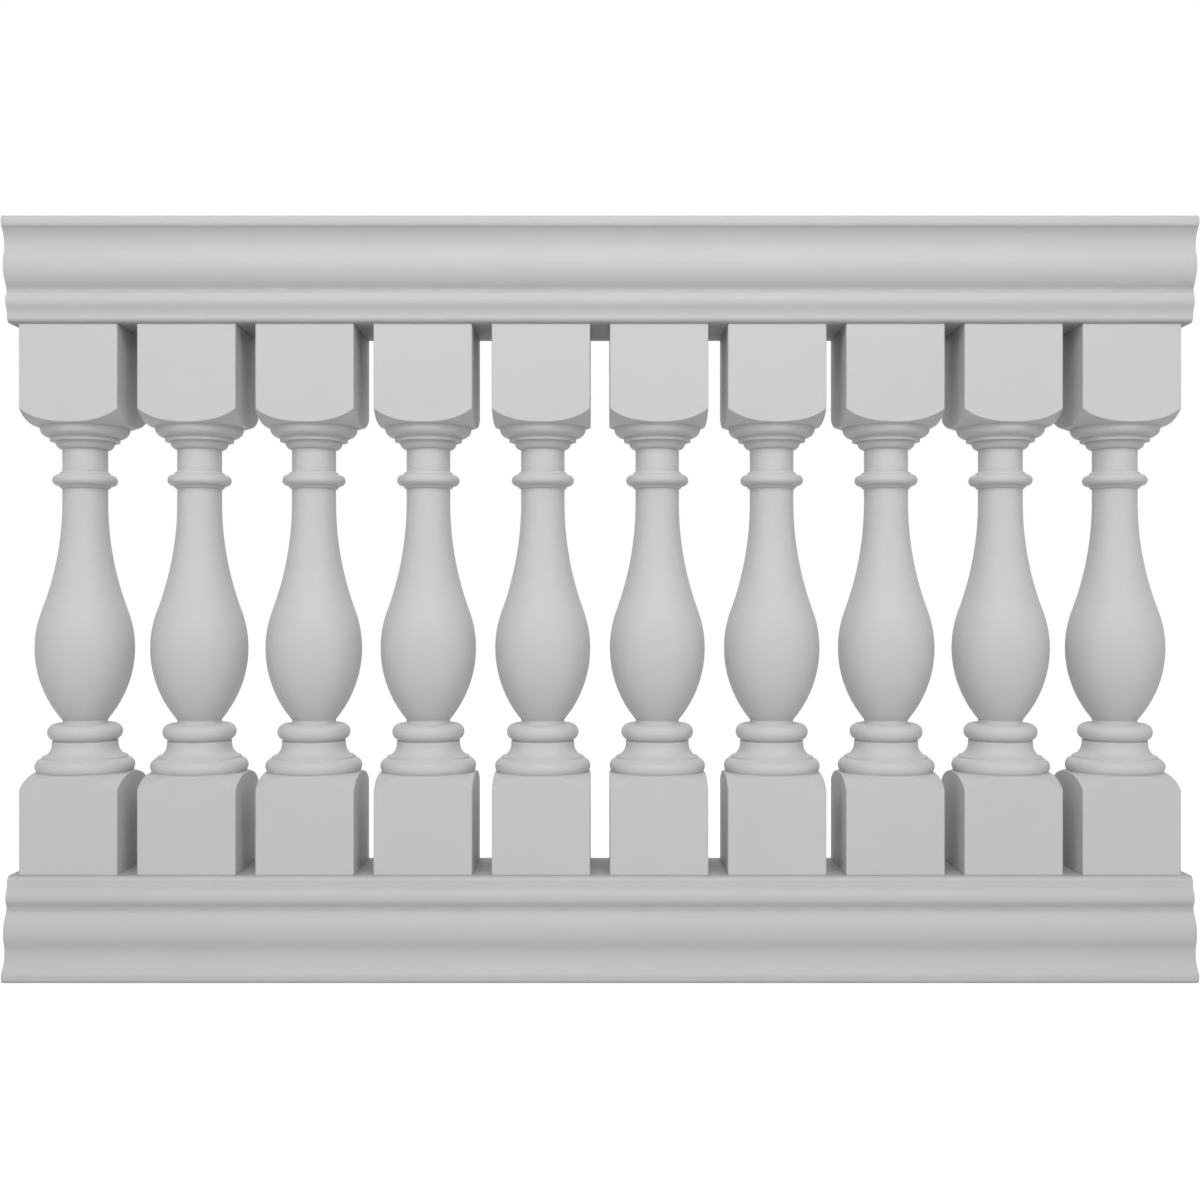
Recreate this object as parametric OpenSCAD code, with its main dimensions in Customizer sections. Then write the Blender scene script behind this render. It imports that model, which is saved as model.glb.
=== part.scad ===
// Balustrade bay in moulded fibreglass: a top rail and a bottom rail with the
// same moulding, ten turned vase balusters between them, and an end block
// bonded inside each rail mouth for fixing the bay to a newel post.
// Origin: centre of the bottom rail's underside. +X along the run, +Z up.

/* [Bay] */
// Number of balusters in the bay
baluster_count = 10; // [2:1:14]
// Distance from one baluster's axis to the next
baluster_pitch = 152.4; // [127:0.1:200]
// Length of rail past the face of the first and the last block
end_projection = 12.7; // [0:0.1:80]
// Height of a baluster between the two rails
baluster_height = 711.2; // [590:0.1:900]

/* [Baluster blocks] */
// Side of the square block at each end of a baluster
block_side = 127; // [105:0.1:150]
// Height of the block at the middle of its face
block_height = 126.4; // [100:0.1:152]
// Radius of the turned shoulder that takes the block's corners off
shoulder_round = 55.9; // [50:0.1:80]
// Distance of the shoulder's crown in from the block's face
shoulder_crown_in = 16.5; // [10:0.1:24]

/* [Rail moulding] */
// Height of each rail, from its flat baluster side to its flat outer face
rail_height = 133.35; // [111:0.05:165]
// Wall of the moulded rail shell
rail_wall = 6; // [4:0.5:9]
// How far the lip stands out past the face of the blocks
lip_out = 6.5; // [3:0.1:10]
// Radius of the lip's rounded edge
lip_round = 7.3; // [2:0.1:8]
// Share of the curve from lip to bead that is hollow before it turns full
lip_share = 0.6; // [0.4:0.01:0.8]
// How far the small bead stands out past the blocks
bead_out = 12.1; // [9:0.1:16]
// Height of the bead's widest line above the baluster side
bead_at = 28.5; // [20:0.1:33]
// Share of the curve from bead to crease that is full before it turns hollow
bead_share = 0.55; // [0.3:0.01:0.8]
// How far the crease's deepest line stands out past the blocks
crease_out = 7.8; // [6:0.1:11]
// Height of the crease's deepest line
crease_at = 41.5; // [38:0.1:46]
// Share of the curve from crease to roll that is hollow before it turns full
crease_share = 0.18; // [0.05:0.01:0.4]
// How far the big roll stands out past the blocks
roll_out = 19.6; // [17:0.1:25]
// Share of the height between crease and cove that lies below the roll's middle
roll_share = 0.545; // [0.4:0.001:0.75]
// Share of the curve from roll to cove that is full before it turns hollow
roll_full_share = 0.56; // [0.3:0.01:0.8]
// How far the cove's deepest line stands out past the blocks
cove_out = 14.8; // [12:0.1:19]
// Rise of the curve from the cove up to the outer fillet's flat edge
cove_rise = 28; // [20:0.1:32]
// Share of that curve that is hollow before it turns under the fillet
cove_share = 0.78; // [0.5:0.01:0.9]
// How far the outer fillet, the rail's widest place, stands out past the blocks
fillet_out = 26; // [22:0.1:32]
// Height of the outer fillet's flat edge with its rounding
fillet_thick = 8.8; // [7:0.1:12]
// Radius of the fillet's outer edge
fillet_round = 5.5; // [2:0.1:6.5]

/* [Vase] */
// Radius of the neck above the vase
neck_radius = 28.9; // [24:0.1:35]
// Radius of the neck at the vase's foot
foot_radius = 28.7; // [24:0.1:35]
// Largest radius of the vase
belly_radius = 63.2; // [52:0.1:76]
// Height of the vase's widest place above the baluster's foot
belly_at = 290.8; // [242:0.1:350]
// Distance from the collar down to where the neck starts to swell
swell_below_collar = 18; // [5:0.1:60]
// Share of the swelling curve that is hollow before it turns full
swell_share = 0.74; // [0.5:0.01:0.85]

/* [Capital] */
// Inset of the large ovolo from the face of the block above it
ovolo_inset = 6.3; // [3:0.1:12]
// Plain step between the block's underside and the large ovolo
ovolo_step = 2.5; // [1.8:0.1:4]
// Drop of the large ovolo
ovolo_drop = 12.2; // [10:0.1:17]
// How far the fillet between the ovolos stands out past the neck
capital_fillet_out = 15.5; // [12:0.1:19]
// Thickness of the fillet between the ovolos
capital_fillet_thick = 5.3; // [4:0.1:8]
// How far the small ovolo stands out past the neck
small_ovolo_out = 8.8; // [6:0.1:11]
// Drop of the small ovolo
small_ovolo_drop = 10.2; // [7:0.1:12]

/* [Collar] */
// Distance of the collar's middle below the top of the baluster
collar_below_top = 197.6; // [185:0.1:238]
// How far the collar's half-round stands out past the neck
collar_out = 12.5; // [10:0.1:16]
// Section radius of the collar's half-round
collar_round = 7.2; // [6:0.1:10]
// How far the small quarter rounds above and below it stand out past the neck
collar_quarter_out = 3.9; // [2:0.1:5]
// Height of those quarter rounds
collar_quarter_height = 4.1; // [1.5:0.1:5]

/* [Base mouldings] */
// Height of the lower torus's middle above the bottom block's face
lower_torus_above = 8.4; // [7:0.1:10]
// Section radius of the lower torus, which is as wide as the block
lower_torus_round = 10.6; // [9.2:0.1:12]
// Inset of the fillet on the lower torus from that torus's outside
base_fillet_inset = 9; // [5:0.1:12]
// Thickness of that fillet
base_fillet_thick = 2.6; // [2:0.1:5]
// Step from that fillet in to the scotia
base_step = 2.4; // [1:0.1:4]
// Height of the scotia's hollow
scotia_height = 16.2; // [12:0.1:20]
// How far the fillet above the scotia stands out past the vase's foot
scotia_fillet_out = 13.3; // [10:0.1:16]
// Thickness of that fillet
scotia_fillet_thick = 4.8; // [3:0.1:6]
// Fall of that fillet's top towards its outside
scotia_fillet_fall = 1.2; // [0:0.1:2]
// Depth that the upper torus is let into that fillet
upper_torus_seat = 0.4; // [0.2:0.1:1.5]
// How far the upper torus stands out past the vase's foot
upper_torus_out = 19.1; // [16:0.1:23]
// Section radius of the upper torus
upper_torus_round = 11.2; // [8:0.1:13]
// Height of the short neck under the vase
foot_neck = 4.7; // [1:0.1:8]

/* [End fixings] */
// Thickness of the block bonded inside each rail mouth
end_block_thick = 25; // [15:1:40]
// Distance of the end block inside the plane-cut rail end
end_block_inset = 3; // [1:0.5:10]
// Diameter of the two bolt holes in each end block
bolt_hole = 11; // [8:0.5:16]
// Distance between the two bolt holes, across the rail
bolt_spacing = 76.2; // [50:0.1:92]

/* [Hidden] */
function two_digits(i) = str(i < 10 ? "0" : "", i);

$fn = 64;
frp = "gainsboro";
filled_frp = "silver";

block_half = block_side / 2;
rail_length = (baluster_count - 1) * baluster_pitch + block_side + 2 * end_projection;

// Points along an arc of radius r about [cr, cz], from angle a to angle b.
function arc(cr, cz, r, a, b, n = 8) =
    [for (i = [0 : n]) let(t = a + (b - a) * i / n) [cr + r * cos(t), cz + r * sin(t)]];

// An arc that leaves p upright and ends at q, p and q at different heights.
function sweep(p, q, n = 8) =
    let(dx = q[0] - p[0], dz = q[1] - p[1], turned = 2 * atan(abs(dx / dz)))
    [for (i = [0 : n]) let(a = turned * i / n) dx == 0
        ? [p[0], p[1] + dz * i / n]
        : [p[0] + dx * (1 - cos(a)) / (1 - cos(turned)), p[1] + dz * sin(a) / sin(turned)]];

// A double curve, upright at p and at q, that turns over at a share of the way.
function swell(p, q, share, n = 5) =
    let(m = [p[0] + (q[0] - p[0]) * share, p[1] + (q[1] - p[1]) * share])
    concat(sweep(p, m, n), after_first(reversed(sweep(q, m, n))));

// A convex quarter round from its lower, inner end to its upper, outer end.
function quarter_round(inner, outer, low, high, n = 7) =
    [for (i = [0 : n]) let(t = 90 * i / n)
        [inner + (outer - inner) * sin(t), high - (high - low) * cos(t)]];

function reversed(v) = [for (i = [len(v) - 1 : -1 : 0]) v[i]];
function mirrored(v) = [for (i = [len(v) - 1 : -1 : 0]) [-v[i][0], v[i][1]]];
function after_first(v) = [for (i = [1 : len(v) - 1]) v[i]];

// ---- Rail section, from the baluster side up to the outer face ------------
lip_half = block_half + lip_out;
bead_half = block_half + bead_out;
crease_half = block_half + crease_out;
roll_half = block_half + roll_out;
cove_half = block_half + cove_out;
fillet_half = block_half + fillet_out;
fillet_at = rail_height - fillet_thick;
cove_at = fillet_at - cove_rise;
roll_at = crease_at + (cove_at - crease_at) * roll_share;

rail_half_outline = concat(
    arc(lip_half - lip_round, lip_round, lip_round, -90, 0, 6),
    after_first(swell([lip_half, lip_round], [bead_half, bead_at], lip_share)),
    after_first(swell([bead_half, bead_at], [crease_half, crease_at], bead_share)),
    after_first(swell([crease_half, crease_at], [roll_half, roll_at], crease_share)),
    after_first(swell([roll_half, roll_at], [cove_half, cove_at], roll_full_share)),
    after_first(swell([cove_half, cove_at], [fillet_half, fillet_at], cove_share)),
    arc(fillet_half - fillet_round, rail_height - fillet_round, fillet_round, 0, 90, 5)
);

// Inside of the shell: flat faces that stay a wall's thickness from the members.
rail_half_hollow = concat(
    [[lip_half - rail_wall - 1, rail_wall],
     [crease_half - rail_wall, crease_at],
     [cove_half - rail_wall, roll_at]],
    sweep([cove_half - rail_wall, cove_at],
          [fillet_half - rail_wall * 1.5, fillet_at - rail_wall * 0.6], 3),
    [[fillet_half - rail_wall * 1.2, rail_height - rail_wall]]
);

module rail_section(half) { polygon(concat(half, mirrored(half))); }

// A length of the section lying along X, baluster side down.
module along_x(length) {
    rotate([90, 0, 90]) translate([0, 0, -length / 2]) linear_extrude(length) children();
}

module rail() {
    along_x(rail_length) difference() {
        rail_section(rail_half_outline);
        rail_section(rail_half_hollow);
    }
}

module end_block(side) {
    x = side * (rail_length / 2 - end_block_inset - end_block_thick / 2);
    difference() {
        translate([x, 0, 0]) along_x(end_block_thick) rail_section(rail_half_hollow);
        for (y = [-1, 1])
            translate([x, y * bolt_spacing / 2, rail_height / 2]) rotate([0, 90, 0])
                cylinder(h = end_block_thick + 2, d = bolt_hole, center = true);
    }
}

// The top rail stands on the balusters; the bottom rail is the same rail turned over.
module at_top() { translate([0, 0, rail_height + baluster_height]) children(); }
module at_bottom() { translate([0, 0, rail_height]) mirror([0, 0, 1]) children(); }

module top_rail() { color(frp) at_top() rail(); }
module bottom_rail() { color(frp) at_bottom() rail(); }
module top_rail_left_end_block() { color(filled_frp) at_top() end_block(-1); }
module top_rail_right_end_block() { color(filled_frp) at_top() end_block(1); }
module bottom_rail_left_end_block() { color(filled_frp) at_bottom() end_block(-1); }
module bottom_rail_right_end_block() { color(filled_frp) at_bottom() end_block(1); }

// ---- Baluster --------------------------------------------------------------
// Height of the turned shoulder at radius r, measured from the block's end.
shoulder_crown = block_half - shoulder_crown_in;
function shoulder(r) = block_height
    + sqrt(pow(shoulder_round, 2) - pow(r - shoulder_crown, 2))
    - sqrt(pow(shoulder_round, 2) - pow(shoulder_crown_in, 2));
corner = block_half * sqrt(2) + 0.5;
shoulder_points = [for (i = [0 : 8]) let(r = corner + (shoulder_crown - corner) * i / 8)
    [r, shoulder(r)]];

// Members from the bottom block up.
lower_torus_z = block_height + lower_torus_above;
lower_torus_c = block_half - lower_torus_round;
base_fillet = block_half - base_fillet_inset;
base_fillet_turn = acos((base_fillet - lower_torus_c) / lower_torus_round);
scotia_z = lower_torus_z + lower_torus_round * sin(base_fillet_turn) + base_fillet_thick;
scotia_top = scotia_z + scotia_height;
scotia_fillet = foot_radius + scotia_fillet_out;
scotia_fillet_top = scotia_top + scotia_fillet_thick;
upper_torus_z = scotia_fillet_top - upper_torus_seat + upper_torus_round;
upper_torus_c = foot_radius + upper_torus_out - upper_torus_round;
upper_torus_top = upper_torus_z + upper_torus_round;
vase_foot = upper_torus_top + foot_neck;

// Members from the top block down.
ovolo_radius = block_half - ovolo_inset;
ovolo_top = baluster_height - block_height - ovolo_step;
ovolo_base = ovolo_top - ovolo_drop;
capital_fillet = neck_radius + capital_fillet_out;
small_ovolo = neck_radius + small_ovolo_out;
small_ovolo_top = ovolo_base - capital_fillet_thick;
small_ovolo_base = small_ovolo_top - small_ovolo_drop;
collar_z = baluster_height - collar_below_top;
collar_c = neck_radius + collar_out - collar_round;
collar_quarter = neck_radius + collar_quarter_out;
collar_half = collar_round + collar_quarter_height;
swell_at = collar_z - collar_half - swell_below_collar;

// The swell leaves the neck upright, hollow first and then full, and meets the
// belly upright. It turns at swell_share of the way.
turn = [neck_radius + (belly_radius - neck_radius) * swell_share,
        swell_at + (belly_at - swell_at) * swell_share];

vase_half_outline = concat(
    [[0, block_height / 2], [lower_torus_c, block_height / 2]],
    arc(lower_torus_c, lower_torus_z, lower_torus_round, -90, base_fillet_turn, 11),
    [[base_fillet, scotia_z]],
    reversed(sweep([scotia_fillet, scotia_top], [base_fillet - base_step, scotia_z], 7)),
    [[scotia_fillet, scotia_fillet_top - scotia_fillet_fall]],
    arc(upper_torus_c, upper_torus_z, upper_torus_round,
        -asin(1 - upper_torus_seat / upper_torus_round), 90, 14),
    [[foot_radius, upper_torus_top]],
    reversed(sweep([belly_radius, belly_at], [foot_radius, vase_foot], 14)),
    after_first(sweep([belly_radius, belly_at], turn, 6)),
    after_first(reversed(sweep([neck_radius, swell_at], turn, 12))),
    [[neck_radius, collar_z - collar_half]],
    quarter_round(neck_radius + 0.3, collar_quarter,
                  collar_z - collar_half, collar_z - collar_round, 4),
    arc(collar_c, collar_z, collar_round, -88, 88, 12),
    [for (point = reversed(quarter_round(neck_radius + 0.3, collar_quarter,
                  collar_z - collar_half, collar_z - collar_round, 4)))
        [point[0], 2 * collar_z - point[1]]],
    [[neck_radius, collar_z + collar_half], [neck_radius, small_ovolo_base]],
    quarter_round(neck_radius + 0.3, small_ovolo, small_ovolo_base, small_ovolo_top),
    [[capital_fillet, small_ovolo_top], [capital_fillet, ovolo_base]],
    quarter_round(capital_fillet + 0.3, ovolo_radius, ovolo_base, ovolo_top),
    [[ovolo_radius, baluster_height - block_height / 2], [0, baluster_height - block_height / 2]]
);

module block() {
    intersection() {
        translate([-block_half, -block_half, 0])
            cube([block_side, block_side, shoulder(shoulder_crown) + 10]);
        rotate_extrude() polygon(concat(
            [[0, 0], [corner, 0]], shoulder_points, [[0, shoulder(shoulder_crown)]]));
    }
}

module baluster(i) {
    translate([(i - (baluster_count + 1) / 2) * baluster_pitch, 0, rail_height]) union() {
        block();
        translate([0, 0, baluster_height]) mirror([0, 0, 1]) block();
        rotate_extrude() polygon(vase_half_outline);
    }
}

top_rail();
bottom_rail();
top_rail_left_end_block();
top_rail_right_end_block();
bottom_rail_left_end_block();
bottom_rail_right_end_block();
for (i = [1 : baluster_count])
    color(frp) baluster(i);
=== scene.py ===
import math

import bmesh
import bpy
import mathutils
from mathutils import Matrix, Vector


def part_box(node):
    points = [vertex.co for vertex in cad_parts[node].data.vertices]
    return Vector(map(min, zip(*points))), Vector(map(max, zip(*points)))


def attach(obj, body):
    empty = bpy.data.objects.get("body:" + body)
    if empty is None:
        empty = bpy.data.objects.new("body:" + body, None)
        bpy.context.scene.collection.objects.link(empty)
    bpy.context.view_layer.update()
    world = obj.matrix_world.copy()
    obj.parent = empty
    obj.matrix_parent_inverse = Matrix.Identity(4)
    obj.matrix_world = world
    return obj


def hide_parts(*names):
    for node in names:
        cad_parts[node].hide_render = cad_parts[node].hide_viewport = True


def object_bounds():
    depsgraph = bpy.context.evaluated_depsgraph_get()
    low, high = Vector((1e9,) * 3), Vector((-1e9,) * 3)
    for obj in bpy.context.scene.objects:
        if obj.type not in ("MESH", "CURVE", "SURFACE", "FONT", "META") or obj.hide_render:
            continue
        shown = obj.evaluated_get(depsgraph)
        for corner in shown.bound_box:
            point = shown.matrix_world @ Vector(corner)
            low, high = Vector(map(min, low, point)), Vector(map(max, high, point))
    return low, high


# ---------------------------------------------------------------- the bay
# One bay of a moulded fibreglass balustrade, as it leaves the works: two
# rails with ten turned balusters bonded between them. It stands on its
# bottom rail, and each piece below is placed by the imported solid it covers.
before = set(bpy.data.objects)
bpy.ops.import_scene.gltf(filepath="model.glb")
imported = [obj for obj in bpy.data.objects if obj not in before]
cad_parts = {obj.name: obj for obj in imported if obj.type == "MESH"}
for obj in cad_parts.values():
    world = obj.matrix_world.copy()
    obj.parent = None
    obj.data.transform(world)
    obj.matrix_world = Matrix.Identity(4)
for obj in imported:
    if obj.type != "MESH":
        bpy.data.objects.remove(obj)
scene = bpy.context.scene
solid_box = [list(corner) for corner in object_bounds()]
low, high = (mathutils.Vector(corner) for corner in solid_box)
BAY_MIDDLE = (low + high) / 2

VIEW_DISTANCE = 1.9304  # to the middle plane of the bay
VIEW_DROP = 0.0009  # the eye is this far under half height
FILM_WIDTH, VIEW_LENS = 36.0, 43.456  # 45 degrees across, in mm
FARTHEST_SEEN = 60.0
camera_data = bpy.data.cameras.new("view_camera")
camera_data.sensor_width = FILM_WIDTH
camera_data.lens = VIEW_LENS
camera_data.clip_end = FARTHEST_SEEN
camera = bpy.data.objects.new("view_camera", camera_data)
camera.location = (BAY_MIDDLE.x, BAY_MIDDLE.y - VIEW_DISTANCE, BAY_MIDDLE.z - VIEW_DROP)
camera.rotation_euler = (math.pi / 2, 0.0, 0.0)
scene.collection.objects.link(camera)
scene.camera = camera
scene.view_settings.view_transform = "Standard"

# ------------------------------------------------------- rails: gel coat
# The laminate is laid up in a mould over a sprayed gel coat, so its face is
# the mould's: matte light grey, with a fine orange peel and a faint print of
# the glass behind it. Its quirks, joints and bed are darkened with painted shade, its outer flat a
# little with dust.
MM = 0.001


def rgb(*levels):
    return (*levels, 1.0)


RAIL_GREY = rgb(0.594, 0.594, 0.592)
RAIL_GREY_THIN = rgb(0.583, 0.583, 0.583)
# the dark grey of painted shade in quirks, joints, the bed and under the fillet, also used for a little
# dust on the flat
QUIRK_DUST_AND_SHADE = rgb(0.335, 0.334, 0.330)
RUBBED_ARRIS = rgb(0.675, 0.675, 0.672)
PEEL_SIZE, PRINT_SIZE, MOTTLE_SIZE, GRAIN_SIZE = 420.0, 46.0, 9.0, 1500.0  # waves to a metre
GRAIN_DEPTH = 0.16
GEL_COAT_DULL, GEL_COAT_SMOOTH = 0.62, 0.52  # roughness of the mottle's two ends
# how strongly painted shade and dust darken the rails, with none cleared where they face up
RAIL_DUST_AND_SHADE, RAIL_SKYLIT = 0.75, 0.0


def wire(tree, source, target):
    tree.links.new(source, target)


def make_group(name, inputs, outputs):
    """An empty shader group with float inputs and outputs."""
    group = bpy.data.node_groups.new(name, "ShaderNodeTree")
    for label, default in inputs:
        socket = group.interface.new_socket(label, in_out="INPUT", socket_type="NodeSocketFloat")
        socket.default_value = default
    for label in outputs:
        group.interface.new_socket(label, in_out="OUTPUT", socket_type="NodeSocketFloat")
    return group, group.nodes.new("NodeGroupInput"), group.nodes.new("NodeGroupOutput")


def noise(tree, coordinates, scale, detail=2.0, roughness=0.5):
    node = tree.nodes.new("ShaderNodeTexNoise")
    node.inputs["Scale"].default_value = scale
    node.inputs["Detail"].default_value = detail
    node.inputs["Roughness"].default_value = roughness
    wire(tree, coordinates, node.inputs["Vector"])
    return node


def sums(tree, operation, first, second):
    """One maths node; each side is a socket or a plain number."""
    node = tree.nodes.new("ShaderNodeMath")
    node.operation = operation
    for slot, side in enumerate((first, second)):
        if isinstance(side, (int, float)):
            node.inputs[slot].default_value = side
        else:
            wire(tree, side, node.inputs[slot])
    return node.outputs[0]


def spread(tree, value, start, end, top=1.0, bottom=0.0):
    """A smooth step of value from start to end."""
    node = tree.nodes.new("ShaderNodeMapRange")
    node.interpolation_type = "SMOOTHSTEP"
    node.inputs["From Min"].default_value = start
    node.inputs["From Max"].default_value = end
    node.inputs["To Min"].default_value = bottom
    node.inputs["To Max"].default_value = top
    wire(tree, value, node.inputs["Value"])
    return node.outputs["Result"]


def moulded_skin_group():
    """Orange peel, print of the glass and slow mottle of a moulded face."""
    group, entry, result = make_group(
        "moulded_skin",
        [("Peel Size", PEEL_SIZE), ("Peel Depth", 0.6), ("Print Depth", 0.4)],
        ["Height", "Mottle"],
    )
    place = group.nodes.new("ShaderNodeTexCoord").outputs["Object"]
    peel = noise(group, place, PEEL_SIZE, 3.0, 0.55)
    wire(group, entry.outputs["Peel Size"], peel.inputs["Scale"])
    print_through = noise(group, place, PRINT_SIZE)
    slow = noise(group, place, MOTTLE_SIZE, 3.0, 0.6)
    fine = noise(group, place, GRAIN_SIZE, 1.0)
    peel_part = sums(group, "MULTIPLY", peel.outputs["Fac"], entry.outputs["Peel Depth"])
    print_part = sums(group, "MULTIPLY", print_through.outputs["Fac"], entry.outputs["Print Depth"])
    fine_part = sums(group, "MULTIPLY", fine.outputs["Fac"], GRAIN_DEPTH)
    height = sums(group, "ADD", sums(group, "ADD", peel_part, print_part), fine_part)
    wire(group, height, result.inputs["Height"])
    blend = sums(group, "ADD", slow.outputs["Fac"], sums(group, "MULTIPLY", peel.outputs["Fac"], 0.35))
    wire(group, spread(group, blend, 0.35, 1.1), result.inputs["Mottle"])
    return group


def edge_and_quirk_group():
    """Masks for rubbed arrises, and for painted shade with a little dust where the mesh's hollow
    attribute says, less on faces that point up.
    """
    group, entry, result = make_group(
        "edge_and_quirk", [("Rub", 0.5), ("Dust", 0.5), ("Washed", 0.0)], ["Rubbed", "Dusty"]
    )
    geometry = group.nodes.new("ShaderNodeNewGeometry")
    place = group.nodes.new("ShaderNodeTexCoord").outputs["Object"]
    patchy = noise(group, place, 26.0, 4.0, 0.6).outputs["Fac"]
    sharp = spread(group, geometry.outputs["Pointiness"], 0.53, 0.64)
    hollow = group.nodes.new("ShaderNodeAttribute")
    hollow.attribute_name = "hollow"
    rub_patch = sums(group, "MULTIPLY", sharp, spread(group, patchy, 0.35, 0.7, 1.0, 0.35))
    wire(group, sums(group, "MULTIPLY", rub_patch, entry.outputs["Rub"]), result.inputs["Rubbed"])
    facing = group.nodes.new("ShaderNodeSeparateXYZ")
    wire(group, geometry.outputs["Normal"], facing.inputs["Vector"])
    # painted shade: the hollows' darkening, lessened on faces that point up by the share given
    skyward = spread(group, facing.outputs["Z"], -0.5, 0.3)
    skylit_share = sums(group, "MULTIPLY", skyward, entry.outputs["Washed"])
    shaded_hollow = sums(group, "MULTIPLY", hollow.outputs["Fac"], sums(group, "SUBTRACT", 1.0, skylit_share))
    shade_and_dust_patch = sums(group, "MULTIPLY", shaded_hollow, spread(group, patchy, 0.3, 0.75, 1.0, 0.7))
    wire(group, sums(group, "MULTIPLY", shade_and_dust_patch, entry.outputs["Dust"]), result.inputs["Dusty"])
    return group


MOULDED_SKIN = moulded_skin_group()
EDGE_AND_QUIRK = edge_and_quirk_group()


def place_group(tree, group, **values):
    node = tree.nodes.new("ShaderNodeGroup")
    node.node_tree = group
    for label, value in values.items():
        node.inputs[label.replace("_", " ")].default_value = value
    return node


def mixed(tree, mask, first, second):
    """Colour mix; each side is a socket or a fixed colour."""
    node = tree.nodes.new("ShaderNodeMix")
    node.data_type = "RGBA"
    mask_slot, first_slot, second_slot, colour_out = 0, 6, 7, 2  # the node's own colour sockets
    wire(tree, mask, node.inputs[mask_slot])
    for slot, side in ((first_slot, first), (second_slot, second)):
        if isinstance(side, tuple):
            node.inputs[slot].default_value = side
        else:
            wire(tree, side, node.inputs[slot])
    return node.outputs[colour_out]


def bumped(tree, height, strength, distance):
    node = tree.nodes.new("ShaderNodeBump")
    node.inputs["Strength"].default_value = strength
    node.inputs["Distance"].default_value = distance
    wire(tree, height, node.inputs["Height"])
    return node.outputs["Normal"]


def new_material(name):
    material = bpy.data.materials.new(name)
    material.use_nodes = True
    tree = material.node_tree
    return material, tree, tree.nodes["Principled BSDF"]


def gel_coat_material(name, grey, thin_grey, dust_and_shade, skylit):
    """Gel coat that varies between two greys, darkened with painted shade and a little dust."""
    material, tree, skin = new_material(name)
    moulded = place_group(tree, MOULDED_SKIN, Peel_Size=PEEL_SIZE, Peel_Depth=0.6, Print_Depth=0.5)
    wear_and_shade = place_group(tree, EDGE_AND_QUIRK, Rub=0.08, Dust=dust_and_shade, Washed=skylit)
    body = mixed(tree, moulded.outputs["Mottle"], grey, thin_grey)
    # painted shade, with a little dust, darkens the hollows and joints
    body = mixed(tree, wear_and_shade.outputs["Dusty"], body, QUIRK_DUST_AND_SHADE)
    body = mixed(tree, wear_and_shade.outputs["Rubbed"], body, RUBBED_ARRIS)
    wire(tree, body, skin.inputs["Base Color"])
    shine = spread(tree, moulded.outputs["Mottle"], 0.0, 1.0, GEL_COAT_DULL, GEL_COAT_SMOOTH)
    wire(tree, shine, skin.inputs["Roughness"])
    skin.inputs["Specular IOR Level"].default_value = 0.35
    wire(tree, bumped(tree, moulded.outputs["Height"], 0.22, 0.35 * MM), skin.inputs["Normal"])
    return material


RAIL_GEL_COAT = gel_coat_material(
    "rail_gel_coat", RAIL_GREY, RAIL_GREY_THIN, RAIL_DUST_AND_SHADE, RAIL_SKYLIT
)

# --------------------------------------------------- rails: cut laminate
# The rail is trimmed square at each end with a disc, which leaves a rough
# rim where the layers of glass and resin show under the gel coat.
LAMINATE_GREY = rgb(0.545, 0.548, 0.535)
LAMINATE_PALE = rgb(0.640, 0.640, 0.622)


def cut_laminate_material():
    material, tree, cut = new_material("cut_laminate")
    place = tree.nodes.new("ShaderNodeTexCoord").outputs["Object"]
    strands = noise(tree, place, 900.0, 4.0, 0.65)
    cloudy = noise(tree, place, 120.0, 3.0, 0.55)
    frayed = sums(tree, "MULTIPLY", strands.outputs["Fac"], cloudy.outputs["Fac"])
    mask = spread(tree, frayed, 0.16, 0.36)
    wire(tree, mixed(tree, mask, LAMINATE_GREY, LAMINATE_PALE), cut.inputs["Base Color"])
    cut.inputs["Roughness"].default_value = 0.82
    cut.inputs["Specular IOR Level"].default_value = 0.25
    wire(tree, bumped(tree, strands.outputs["Fac"], 0.5, 0.3 * MM), cut.inputs["Normal"])
    return material


CUT_LAMINATE = cut_laminate_material()

# --------------------------------------------------------- rails: mesh
# Each rail is one hollow shell. Its members, from the balusters outwards, are
# a rounded lip, a bead, a crease, the big roll, a cove and a square fillet.
# The bottom rail is the top rail's moulding turned over. Sizes are in mm.
BLOCK_HALF = 63.5
RAIL_HEIGHT = 133.35
RAIL_WALL = 6.0
LIP, LIP_ROUND = BLOCK_HALF + 6.5, 7.3
BEAD, BEAD_AT = BLOCK_HALF + 12.1, 28.5
CREASE, CREASE_AT = BLOCK_HALF + 7.8, 41.5
FILLET, FILLET_AT, FILLET_ROUND = BLOCK_HALF + 26.0, RAIL_HEIGHT - 8.8, 5.5
COVE, COVE_AT = BLOCK_HALF + 14.8, FILLET_AT - 28.0
ROLL, ROLL_AT = BLOCK_HALF + 19.6, CREASE_AT + (COVE_AT - CREASE_AT) * 0.545
ARRIS_EASE, QUIRK_EASE = 0.5, 1.4  # radii left by the mould on sharp corners
CUT_ROUND, RIM_EASE = 0.8, 0.5  # the cut's outer arris, and how far its hollow opens out
RIM_STEP, RAIL_SPANS = 6.0, 16
QUARTER_TURN = (0.0, math.pi / 6, math.pi / 3, math.pi / 2)  # a small round in three steps
DOUBLE_POINT = 0.02  # points closer than this are one
EDGE_BAND = 4.0  # strip of the outer flat beside its arris, over which the arris's painted shade fades out


def arc(cx, cz, radius, start, end, count=10):
    angles = [math.radians(start + (end - start) * i / count) for i in range(count + 1)]
    return [(cx + radius * math.cos(a), cz + radius * math.sin(a)) for a in angles]


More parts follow.
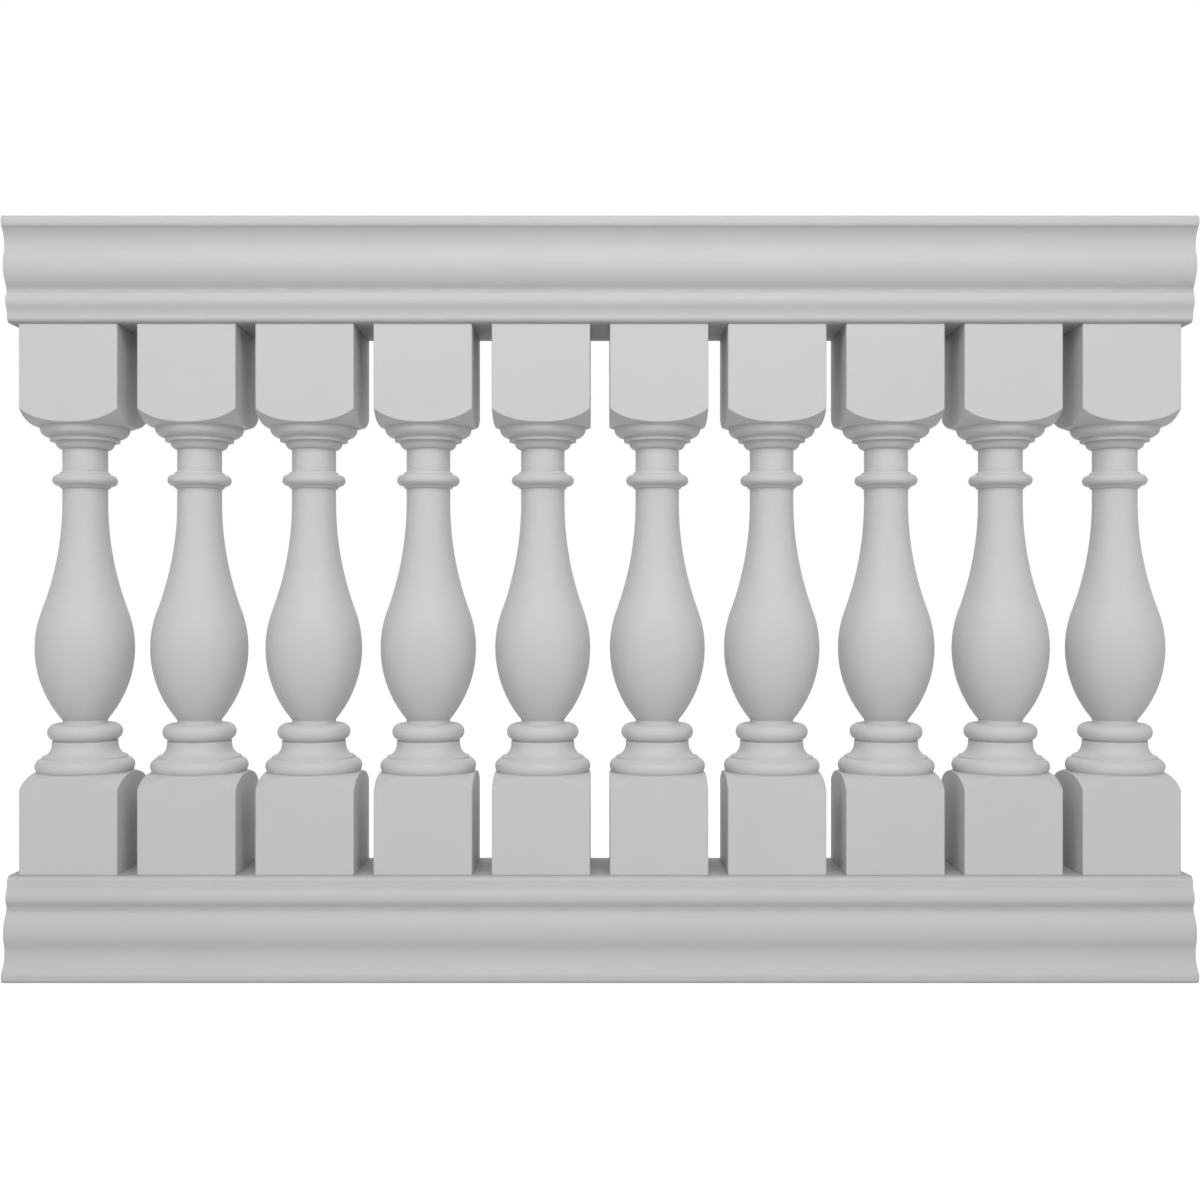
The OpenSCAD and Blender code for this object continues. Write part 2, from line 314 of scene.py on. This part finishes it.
def sweep(p, q, count=16):
    """An arc that leaves p upright and ends at q."""
    dx, dz = q[0] - p[0], q[1] - p[1]
    turned = 2 * math.atan(abs(dx / dz))
    return [
        (p[0] + dx * (1 - math.cos(turned * i / count)) / (1 - math.cos(turned)),
         p[1] + dz * math.sin(turned * i / count) / math.sin(turned))
        for i in range(count + 1)
    ]


def swell(p, q, share, count=12):
    """A double curve, upright at p and at q, that turns over at a share of the way."""
    turn = (p[0] + (q[0] - p[0]) * share, p[1] + (q[1] - p[1]) * share)
    return sweep(p, turn, count) + list(reversed(sweep(q, turn, count)))[1:]


def eased(path, outer_radius, inner_radius, steps=4, least_turn=20.0):
    """The open path with its sharp corners rounded and double points dropped."""
    points = [path[0]]
    for point in path[1:]:
        if math.dist(point, points[-1]) > DOUBLE_POINT:
            points.append(point)
    out = [points[0]]
    for before, corner, after in zip(points, points[1:], points[2:]):
        come, leave = math.dist(before, corner), math.dist(corner, after)
        into = ((corner[0] - before[0]) / come, (corner[1] - before[1]) / come)
        away = ((after[0] - corner[0]) / leave, (after[1] - corner[1]) / leave)
        turn = math.acos(max(-1.0, min(1.0, into[0] * away[0] + into[1] * away[1])))
        if turn < math.radians(least_turn):
            out.append(corner)
            continue
        proud = into[0] * away[1] - into[1] * away[0] > 0
        radius = outer_radius if proud else inner_radius
        trim = min(radius * math.tan(turn / 2), 0.45 * come, 0.45 * leave)
        start = (corner[0] - into[0] * trim, corner[1] - into[1] * trim)
        end = (corner[0] + away[0] * trim, corner[1] + away[1] * trim)
        for i in range(steps + 1):
            t = i / steps
            out.append(tuple(
                start[k] * (1 - t) ** 2 + corner[k] * 2 * t * (1 - t) + end[k] * t * t for k in (0, 1)
            ))
    out.append(points[-1])
    return out


def stepped(path, longest=3.0, plain=6.0):
    """The path with its long straight runs cut into steps."""
    out = [path[0]]
    for point in path[1:]:
        start, run = out[-1], math.dist(out[-1], point)
        steps = math.ceil(run / longest) if run > plain else 1
        for k in range(1, steps + 1):
            out.append(tuple(start[i] + (point[i] - start[i]) * k / steps for i in (0, 1)))
    return out


def hollows(outline, reach=5.0):
    """How deep each point of an open outline lies in a hollow, from 0 to 1."""
    along = [0.0]
    for before, point in zip(outline, outline[1:]):
        along.append(along[-1] + math.dist(before, point))

    def at(length):
        """The point that lies this far along the outline."""
        length = max(0.0, min(along[-1], length))
        k = max(1, next((i for i, reached in enumerate(along) if reached >= length), len(along) - 1))
        t = (length - along[k - 1]) / max(along[k] - along[k - 1], 1e-6)
        return tuple(outline[k - 1][i] + (outline[k][i] - outline[k - 1][i]) * t for i in (0, 1))

    fully_sunk, falloff = 0.4 * reach, 1.5
    depths = []
    for point, length in zip(outline, along):
        start, end = at(length - reach), at(length + reach)
        run = (end[0] - start[0], end[1] - start[1])
        sunk = run[0] * (point[1] - start[1]) - run[1] * (point[0] - start[0])
        sunk /= max(math.dist(start, end), 1e-6)
        depths.append(max(0.0, min(1.0, sunk / fully_sunk)) ** falloff)
    return depths


def mirrored(half):
    """The closed outline made of a half outline and its mirror image."""
    return half + [(-x, z) for x, z in reversed(half)]


rail_half = eased(
    [(0.0, 0.0)]
    + arc(LIP - LIP_ROUND, LIP_ROUND, LIP_ROUND, -90, 0, 12)
    + swell((LIP, LIP_ROUND), (BEAD, BEAD_AT), 0.6)[1:]
    + swell((BEAD, BEAD_AT), (CREASE, CREASE_AT), 0.55)[1:]
    + swell((CREASE, CREASE_AT), (ROLL, ROLL_AT), 0.18)[1:]
    + swell((ROLL, ROLL_AT), (COVE, COVE_AT), 0.56)[1:]
    + swell((COVE, COVE_AT), (FILLET, FILLET_AT), 0.78)[1:]
    + arc(FILLET - FILLET_ROUND, RAIL_HEIGHT - FILLET_ROUND, FILLET_ROUND, 0, 90, 10)
    + [(FILLET - FILLET_ROUND - EDGE_BAND, RAIL_HEIGHT), (0.0, RAIL_HEIGHT)],
    ARRIS_EASE, QUIRK_EASE,
)[1:-1]
rail_outline = mirrored(rail_half)
BED_FADE = 4.0  # painted shade on the bed between the balusters, fading up the lip
EDGE_FADE = 1.6  # painted contact shadow on the outer arris where the bottom rail meets the floor, the same on the top rail's top; thin on the flat
FILLET_SHADE_AT, FILLET_SHADE_FADE = RAIL_HEIGHT - 14.6, 1.9  # painted shade in a line under the top rail's fillet
# strengths of the painted shade at the arris and under the fillet, and of the dust on the flat
ARRIS_SHADE, FILLET_SHADE, FLAT_DIRT = 0.85, 0.75, 0.15


def rail_shade_and_dust(under_fillet):
    """Painted shade, and a little dust on the outer flat, along one half outline of a rail, then its
    mirror image.
    """
    shade_and_dust = []
    # creases, the bed, the outer arris and the line under the fillet are painted shade; the outer flat
    # gets dust
    for depth, (y, z) in zip(hollows(rail_half), rail_half):
        bed = 1 - z / BED_FADE
        arris = ARRIS_SHADE * (1 - (RAIL_HEIGHT - z) / EDGE_FADE)
        fillet_shade = FILLET_SHADE * (1 - abs(z - FILLET_SHADE_AT) / FILLET_SHADE_FADE) if under_fillet else 0.0
        flat = z > RAIL_HEIGHT - DOUBLE_POINT / 2 and y < FILLET - FILLET_ROUND - EDGE_BAND / 2
        shade_and_dust.append(FLAT_DIRT if flat else max(depth, bed, arris, fillet_shade))
    return shade_and_dust + shade_and_dust[::-1]


hollow_outline = mirrored(
    [(LIP - RAIL_WALL - 1, RAIL_WALL),
     (CREASE - RAIL_WALL, CREASE_AT),
     (COVE - RAIL_WALL, ROLL_AT)]
    + sweep((COVE - RAIL_WALL, COVE_AT), (FILLET - RAIL_WALL * 1.5, FILLET_AT - RAIL_WALL * 0.6), 3)
    + [(FILLET - RAIL_WALL * 1.2, RAIL_HEIGHT - RAIL_WALL)]
)


def shrunk(outline, inset):
    """The closed outline moved inwards along its corners' normals."""
    moved = []
    for i, point in enumerate(outline):
        before, after = outline[i - 1], outline[(i + 1) % len(outline)]
        along = mathutils.Vector((after[0] - before[0], after[1] - before[1])).normalized()
        moved.append((point[0] - along.y * inset, point[1] + along.x * inset))
    return moved


def rail_stations(half_length, rim_inset):
    """Places along the rail with the outline's inset there, rounded at both ends."""
    right = [(half_length - RIM_STEP * k, 0.0) for k in (2, 1)]
    for a in QUARTER_TURN:
        right.append((half_length - CUT_ROUND * (1 - math.sin(a)), rim_inset * (1 - math.cos(a))))
    reach = right[0][0]
    middle = [(-reach + 2 * reach * k / RAIL_SPANS, 0.0) for k in range(1, RAIL_SPANS)]
    return [(-x, inset) for x, inset in reversed(right)] + middle + right


def skin_faces(rows, columns, flip):
    """Quads between successive closed rings of points."""
    quads = []
    for r in range(rows - 1):
        for c in range(columns):
            a, b = r * columns + c, r * columns + (c + 1) % columns
            quad = (a, b, b + columns, a + columns)
            quads.append(tuple(reversed(quad)) if flip else quad)
    return quads


def rail_shell(name, node, turned_over):
    """The whole shell as one closed mesh, its cut rims in cut laminate."""
    corner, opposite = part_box(node)
    half_length = (opposite.x - corner.x) / 2 / MM
    verts, faces, rims, depths = [], [], [], []
    left_loops, right_loops = [], []
    for outline, rim_inset, shade_and_dust, flip in (
        (rail_outline, CUT_ROUND, rail_shade_and_dust(not turned_over), False),
        (hollow_outline, -RIM_EASE, [0.0] * len(hollow_outline), True),
    ):
        start, columns = len(verts), len(outline)
        stations = rail_stations(half_length, rim_inset)
        for x, inset in stations:
            verts += [(x, y, z) for y, z in shrunk(outline, inset)]
            depths += shade_and_dust
        faces += [tuple(start + i for i in quad) for quad in skin_faces(len(stations), columns, flip)]
        left_loops.append(list(range(start, start + columns)))
        right_loops.append(list(range(len(verts) - columns, len(verts))))
    for loops in (left_loops, right_loops):
        flat = [[mathutils.Vector((verts[i][1], verts[i][2], 0.0)) for i in loop] for loop in loops]
        order = loops[0] + loops[1]
        for triangle in mathutils.geometry.tessellate_polygon(flat):
            rims.append(tuple(order[i] for i in triangle))
    mesh = bpy.data.meshes.new(name)
    centre = (corner + opposite) / 2
    base = opposite.z if turned_over else corner.z
    sign = -1 if turned_over else 1
    placed = [(centre.x + x * MM, centre.y + y * MM, base + sign * z * MM) for x, y, z in verts]
    mesh.from_pydata(placed, [], faces + rims)
    mesh.materials.append(RAIL_GEL_COAT)
    mesh.materials.append(CUT_LAMINATE)
    for polygon in mesh.polygons:
        polygon.use_smooth = True
        polygon.material_index = 1 if polygon.index >= len(faces) else 0
    return finished_piece(name, mesh, depths)


def finished_piece(name, mesh, depths):
    """Turns the faces outwards, notes the hollows, weights the normals and links the piece."""
    work = bmesh.new()
    work.from_mesh(mesh)
    bmesh.ops.recalc_face_normals(work, faces=work.faces)
    work.to_mesh(mesh)
    work.free()
    mesh.attributes.new("hollow", "FLOAT", "POINT").data.foreach_set("value", depths)
    piece = bpy.data.objects.new(name, mesh)
    scene.collection.objects.link(piece)
    weighted = piece.modifiers.new("weighted_normals", "WEIGHTED_NORMAL")
    weighted.mode = "FACE_AREA"
    weighted.keep_sharp = True
    return piece


for node, turned_over in (("top_rail", False), ("bottom_rail", True)):
    shell = rail_shell(node + "_shell", node, turned_over)
    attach(shell, "root")
    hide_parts(node)

# ------------------------------------------------------------ end blocks
# A block of filled resin is bonded 3 mm inside each rail mouth. It is cast
# flat and drilled for two bolts, so its face is dull, pitted and a bit darker.
FILLED_GREY = rgb(0.470, 0.468, 0.455)
FILLED_PALE = rgb(0.560, 0.556, 0.540)
PIT_GREY = rgb(0.300, 0.298, 0.290)


def filled_casting_material():
    material, tree, cast = new_material("filled_casting")
    moulded = place_group(tree, MOULDED_SKIN, Peel_Size=260.0, Peel_Depth=1.0, Print_Depth=0.3)
    wear_and_shade = place_group(tree, EDGE_AND_QUIRK, Rub=0.6, Dust=0.3)
    place = tree.nodes.new("ShaderNodeTexCoord").outputs["Object"]
    pits = tree.nodes.new("ShaderNodeTexVoronoi")
    pits.inputs["Scale"].default_value = 180.0
    wire(tree, place, pits.inputs["Vector"])
    pitted = spread(tree, pits.outputs["Distance"], 0.16, 0.08)
    body = mixed(tree, moulded.outputs["Mottle"], FILLED_GREY, FILLED_PALE)
    body = mixed(tree, wear_and_shade.outputs["Rubbed"], body, FILLED_PALE)
    body = mixed(tree, pitted, body, PIT_GREY)
    wire(tree, body, cast.inputs["Base Color"])
    cast.inputs["Roughness"].default_value = 0.85
    cast.inputs["Specular IOR Level"].default_value = 0.25
    height = sums(tree, "SUBTRACT", moulded.outputs["Height"], pitted)
    wire(tree, bumped(tree, height, 0.5, 0.5 * MM), cast.inputs["Normal"])
    return material


FILLED_CASTING = filled_casting_material()
for node in (
    "top_rail_left_end_block",
    "top_rail_right_end_block",
    "bottom_rail_left_end_block",
    "bottom_rail_right_end_block",
):
    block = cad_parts[node]
    block.data.materials.clear()
    block.data.materials.append(FILLED_CASTING)

# -------------------------------------------------------------- balusters
# Each baluster is one moulding: a square block at each end with a turned
# shoulder, and between them the base mouldings, the vase, its neck with a
# collar, and the capital. It is bonded upright between the two rails.
BALUSTER_GREY = rgb(0.632, 0.632, 0.630)
BALUSTER_GREY_THIN = rgb(0.620, 0.620, 0.620)
# painted shade in the balusters' hollows, cleared wholly where they face up
BALUSTER_DUST_AND_SHADE, BALUSTER_SKYLIT = 0.3, 1.0
BALUSTER_HEIGHT = 711.2
BLOCK_HEIGHT = 126.4
SHOULDER_ROUND, SHOULDER_CROWN = 55.9, BLOCK_HALF - 16.5
CORNER_ROUND, ARRIS_ROUND, BED_ROUND = 1.6, 0.6, 0.8
NECK, FOOT, BELLY, BELLY_AT = 28.9, 28.7, 63.2, 290.8
SWELL_SHARE, SWELL_DROP = 0.74, 18.0  # where the vase turns over, and its start under the collar
TORUS_ROUND, TORUS_RISE = 10.6, 8.4
BASE_FILLET, BASE_FILLET_HEIGHT, BASE_FILLET_STEP = BLOCK_HALF - 9.0, 2.6, 2.4
SCOTIA_HEIGHT = 16.2
SCOTIA_FILLET, SCOTIA_FILLET_HEIGHT, SCOTIA_FILLET_SEAT = FOOT + 13.3, 4.8, 1.2
UPPER_TORUS, UPPER_ROUND, UPPER_SEAT = FOOT + 19.1, 11.2, 0.4
FOOT_HEIGHT = 4.7
OVOLO, OVOLO_HEIGHT, OVOLO_DROP = BLOCK_HALF - 6.3, 12.2, 2.5
CAPITAL_FILLET, CAPITAL_FILLET_HEIGHT = NECK + 15.5, 5.3
SMALL_OVOLO, SMALL_OVOLO_HEIGHT = NECK + 8.8, 10.2
COLLAR, COLLAR_ROUND, COLLAR_DROP = NECK + 12.5, 7.2, 197.6
COLLAR_BED, COLLAR_HALF = NECK + 3.9, 11.3  # the small round over and under it
QUIRK_STEP = 0.3  # each quarter round starts this far out
BALUSTER_GEL_COAT = gel_coat_material(
    "baluster_gel_coat", BALUSTER_GREY, BALUSTER_GREY_THIN, BALUSTER_DUST_AND_SHADE, BALUSTER_SKYLIT
)


def shoulder(radius):
    """Height of the turned shoulder above the block's end."""
    return (
        BLOCK_HEIGHT
        + math.sqrt(SHOULDER_ROUND**2 - (radius - SHOULDER_CROWN) ** 2)
        - math.sqrt(SHOULDER_ROUND**2 - (BLOCK_HALF - SHOULDER_CROWN) ** 2)
    )


def quarter_round(inner, outer, bottom, top, count=14):
    """A convex quarter of an ellipse, level at its narrow foot and upright at its wide top."""
    return [
        (inner + (outer - inner) * math.sin(math.pi / 2 * i / count),
         top - (top - bottom) * math.cos(math.pi / 2 * i / count))
        for i in range(count + 1)
    ]


def turned_members():
    """The turned half outline from the bottom shoulder to the top one."""
    torus_c, torus_z = BLOCK_HALF - TORUS_ROUND, BLOCK_HEIGHT + TORUS_RISE
    top_turn = math.degrees(math.acos((BASE_FILLET - torus_c) / TORUS_ROUND))
    low_turn = -90.0
    while True:
        r = torus_c + TORUS_ROUND * math.cos(math.radians(low_turn))
        z = torus_z + TORUS_ROUND * math.sin(math.radians(low_turn))
        if z > shoulder(r):
            break
        low_turn += 0.5
    scotia_z = torus_z + TORUS_ROUND * math.sin(math.radians(top_turn)) + BASE_FILLET_HEIGHT
    scotia_top = scotia_z + SCOTIA_HEIGHT
    scotia = sweep((SCOTIA_FILLET, scotia_top), (BASE_FILLET - BASE_FILLET_STEP, scotia_z), 14)
    fillet_top = scotia_top + SCOTIA_FILLET_HEIGHT
    upper_c, upper_z = UPPER_TORUS - UPPER_ROUND, fillet_top - UPPER_SEAT + UPPER_ROUND
    upper_turn = -math.degrees(math.asin(1 - UPPER_SEAT / UPPER_ROUND))
    vase_foot = upper_z + UPPER_ROUND + FOOT_HEIGHT
    ovolo_top = BALUSTER_HEIGHT - BLOCK_HEIGHT - OVOLO_DROP
    ovolo_base = ovolo_top - OVOLO_HEIGHT
    small_top = ovolo_base - CAPITAL_FILLET_HEIGHT
    small_base = small_top - SMALL_OVOLO_HEIGHT
    collar_c, collar_z = COLLAR - COLLAR_ROUND, BALUSTER_HEIGHT - COLLAR_DROP
    collar_base = collar_z - COLLAR_HALF
    bed = quarter_round(NECK + QUIRK_STEP, COLLAR_BED, collar_base, collar_z - COLLAR_ROUND, 8)
    swell_at = collar_base - SWELL_DROP
    turn = (NECK + (BELLY - NECK) * SWELL_SHARE, swell_at + (BELLY_AT - swell_at) * SWELL_SHARE)
    path = (
        arc(torus_c, torus_z, TORUS_ROUND, low_turn, top_turn, 22)
        + [(BASE_FILLET, scotia_z)]
        + scotia[::-1]
        + [(SCOTIA_FILLET, fillet_top - SCOTIA_FILLET_SEAT)]
        + arc(upper_c, upper_z, UPPER_ROUND, upper_turn, 90, 24)
        + [(FOOT, upper_z + UPPER_ROUND)]
        + sweep((BELLY, BELLY_AT), (FOOT, vase_foot), 34)[::-1]
        + sweep((BELLY, BELLY_AT), turn, 18)[1:]
        + sweep((NECK, swell_at), turn, 30)[::-1][1:]
        + [(NECK, collar_base)]
        + bed
        + arc(collar_c, collar_z, COLLAR_ROUND, -88, 88, 20)
        + [(r, 2 * collar_z - z) for r, z in reversed(bed)]
        + [(NECK, collar_z + COLLAR_HALF), (NECK, small_base)]
        + quarter_round(NECK + QUIRK_STEP, SMALL_OVOLO, small_base, small_top)
        + [(CAPITAL_FILLET, small_top), (CAPITAL_FILLET, ovolo_base)]
        + quarter_round(CAPITAL_FILLET + QUIRK_STEP, OVOLO, ovolo_base, ovolo_top)
        + [(OVOLO, BALUSTER_HEIGHT - shoulder(OVOLO))]
    )
    return stepped(eased(path, ARRIS_EASE, QUIRK_EASE))


def square_columns(per_face=24, per_corner=4):
    """Directions and distances of the block's outline, its corners rounded."""
    columns = []
    flat = BLOCK_HALF - CORNER_ROUND
    widest = math.atan(flat / BLOCK_HALF)
    for side in range(4):
        turn = side * math.pi / 2
        points = [
            (BLOCK_HALF, BLOCK_HALF * math.tan(-widest + 2 * widest * k / per_face))
            for k in range(per_face + 1)
        ]
        points += arc(flat, flat, CORNER_ROUND, 0, 90, per_corner)[1:-1]
        for x, y in points:
            columns.append((math.atan2(y, x) + turn, math.hypot(x, y)))
    return columns


def block_column(reach, contact):
    """One column of the bottom block, from its bed up to the turned contact."""
    rows = [
        (reach - BED_ROUND * (1 - math.sin(a)), BED_ROUND * (1 - math.cos(a))) for a in QUARTER_TURN
    ]
    crest = shoulder(reach)
    start = crest - ARRIS_ROUND
    rows += [(reach, BED_ROUND + (start - BED_ROUND) * s) for s in (0.03, 0.25, 0.5, 0.75, 0.97)]
    inward = reach - ARRIS_ROUND
    for k in range(6):
        t = k / 5
        rows.append((
            reach * (1 - t) ** 2 + reach * 2 * t * (1 - t) + inward * t * t,
            start * (1 - t) ** 2 + crest * 2 * t * (1 - t) + shoulder(inward) * t * t,
        ))
    for s in (0.06, 0.2, 0.4, 0.6, 0.8, 0.94, 1.0):
        r = inward + (contact - inward) * s
        rows.append((r, shoulder(r)))
    return rows


members = turned_members()
columns = square_columns()


def whole_column(reach):
    """One column of the baluster, from its bed to the underside of the top rail."""
    bottom = block_column(reach, members[0][0])
    top = [(r, BALUSTER_HEIGHT - z) for r, z in reversed(block_column(reach, members[-1][0]))]
    return bottom[:-1] + members + top[1:]


rows_by_column = [whole_column(reach) for _, reach in columns]
sunk_by_column = [hollows(rows) for rows in rows_by_column]
row_count = len(rows_by_column[0])


def baluster_piece(name, node):
    """One closed baluster: rings of points from bed to bed, and a flat cap at each end."""
    corner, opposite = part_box(node)
    centre = (corner + opposite) / 2
    verts, depths = [], []
    for row in range(row_count):
        depths += [sunk[row] for sunk in sunk_by_column]
        for (angle, _), rows in zip(columns, rows_by_column):
            r, z = rows[row]
            verts.append((
                centre.x + r * math.cos(angle) * MM,
                centre.y + r * math.sin(angle) * MM,
                corner.z + z * MM,
            ))
    width = len(columns)
    faces = skin_faces(row_count, width, False)
    for ring, z in ((0, corner.z), ((row_count - 1) * width, opposite.z)):
        verts.append((centre.x, centre.y, z))
        depths.append(0.0)
        middle = len(verts) - 1
        faces += [(ring + c, ring + (c + 1) % width, middle) for c in range(width)]
    mesh = bpy.data.meshes.new(name)
    mesh.from_pydata(verts, [], faces)
    mesh.materials.append(BALUSTER_GEL_COAT)
    for polygon in mesh.polygons:
        polygon.use_smooth = True
    return finished_piece(name, mesh, depths)


for number in range(1, 11):
    node = f"baluster_{number:02d}"
    baluster = baluster_piece(node + "_turned", node)
    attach(baluster, "root")
    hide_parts(node)

# ------------------------------------------------- floor, sky and lamps
# A white studio: a matte floor that keeps the bay's soft shadow, a surround
# that looks white to the eye, and soft lamps. The strongest is high in front,
# with a weaker one at each side and one high behind.
WHITE = rgb(1.0, 1.0, 1.0)
FLOOR_HALF, FLOOR_GAP = 14.0, 0.0006  # in metres; the gap keeps the two faces apart
FLOOR_GREY = rgb(0.62, 0.62, 0.62)
FLOOR_LIFT = 0.80
SKY_STRENGTH = 0.34
HIGH_POWER, WIDE_POWER, BACK_POWER = 52.0, 13.4, 14.0

floor_mesh = bpy.data.meshes.new("studio_floor")
floor_corners = [
    (x * FLOOR_HALF, y * FLOOR_HALF, low.z - FLOOR_GAP) for x, y in ((-1, -1), (1, -1), (1, 1), (-1, 1))
]
floor_mesh.from_pydata(floor_corners, [], [(0, 1, 2, 3)])
floor = bpy.data.objects.new("studio_floor", floor_mesh)
scene.collection.objects.link(floor)


def seen_directly(tree):
    """1 where the eye, or a clear reflection or a clear glass, meets the surface."""
    rays = tree.nodes.new("ShaderNodeLightPath").outputs
    mirrored_or_through = sums(tree, "MAXIMUM", rays["Is Glossy Ray"], rays["Is Transmission Ray"])
    return sums(tree, "MAXIMUM", rays["Is Camera Ray"], mirrored_or_through)


floor_material, tree, matte = new_material("studio_floor")
matte.inputs["Base Color"].default_value = FLOOR_GREY
matte.inputs["Roughness"].default_value = 1.0
matte.inputs["Specular IOR Level"].default_value = 0.0
matte.inputs["Emission Color"].default_value = WHITE
lift = sums(tree, "MULTIPLY", seen_directly(tree), FLOOR_LIFT)
wire(tree, lift, matte.inputs["Emission Strength"])
floor_mesh.materials.append(floor_material)

world = bpy.data.worlds.new("studio_surround")
world.use_nodes = True
scene.world = world
tree = world.node_tree
lit = tree.nodes["Background"]
lit.inputs["Color"].default_value = WHITE
lit.inputs["Strength"].default_value = SKY_STRENGTH
white = tree.nodes.new("ShaderNodeBackground")
white.inputs["Color"].default_value = WHITE
white.inputs["Strength"].default_value = 1.0
either = tree.nodes.new("ShaderNodeMixShader")
wire(tree, seen_directly(tree), either.inputs["Fac"])
wire(tree, lit.outputs["Background"], either.inputs[1])
wire(tree, white.outputs["Background"], either.inputs[2])
wire(tree, either.outputs["Shader"], tree.nodes["World Output"].inputs["Surface"])


def soft_lamp(name, place, width, height, power):
    """A soft box aimed at the middle of the bay."""
    data = bpy.data.lights.new(name, "AREA")
    data.shape = "RECTANGLE"
    data.size, data.size_y = width, height
    data.energy = power
    lamp = bpy.data.objects.new(name, data)
    lamp.location = place
    aim = BAY_MIDDLE - mathutils.Vector(place)
    lamp.rotation_euler = aim.to_track_quat("-Z", "Y").to_euler()
    lamp.visible_camera = False
    scene.collection.objects.link(lamp)


soft_lamp("high_soft_lamp", (0.0, -2.4, 2.4), 3.0, 1.2, HIGH_POWER)
soft_lamp("left_soft_lamp", (-2.6, -3.4, 1.2), 1.2, 1.2, WIDE_POWER)
soft_lamp("right_soft_lamp", (2.6, -3.4, 1.2), 1.2, 1.2, WIDE_POWER)
soft_lamp("back_soft_lamp", (0.0, 2.0, 2.6), 3.0, 1.2, BACK_POWER)
